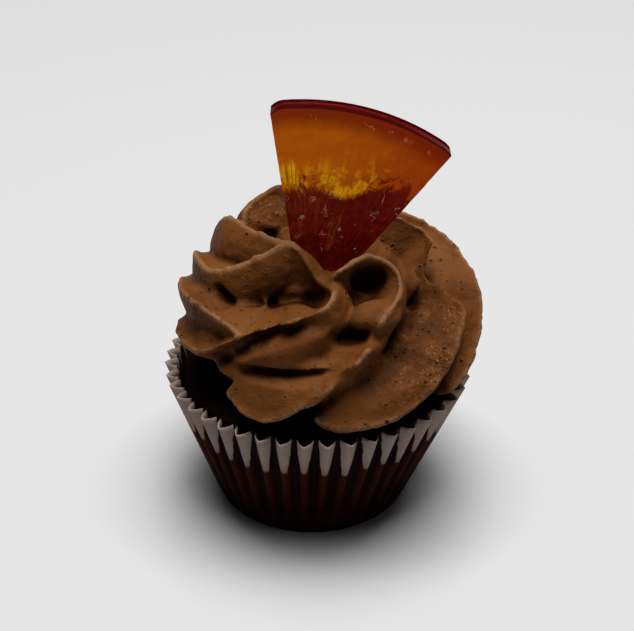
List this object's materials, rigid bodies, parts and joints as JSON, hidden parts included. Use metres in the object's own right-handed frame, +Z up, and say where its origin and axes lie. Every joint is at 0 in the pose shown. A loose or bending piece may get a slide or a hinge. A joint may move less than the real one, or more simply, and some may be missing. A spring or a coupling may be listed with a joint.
{
  "type": "cupcake",
  "caption": "Iced cupcake in a pleated paper case, with a twisted swirl of chocolate icing and a wedge of candied orange standing in the top.",
  "frame": {"origin": "below the centre of the paper case's rim, on the surface the case rests on", "axes": "+Z up; the broad face of the wedge faces -Y, the side the picture shows; +X to the right in the picture"},
  "size_m": [0.0726, 0.0712, 0.0999],
  "materials": {
    "paper": "thin pleated baking paper, pale where dry and dark where soaked",
    "dark_crumb": "matt, fine open crumb",
    "cocoa_icing": "satin, whipped, with small air holes",
    "candied_orange": "wet and glossy, translucent flesh with a dark rind"
  },
  "bodies": {
    "root": {"paper_case": "paper", "cake": "dark_crumb", "frosting": "cocoa_icing", "orange_wedge": "candied_orange"}
  },
  "joints": []
}
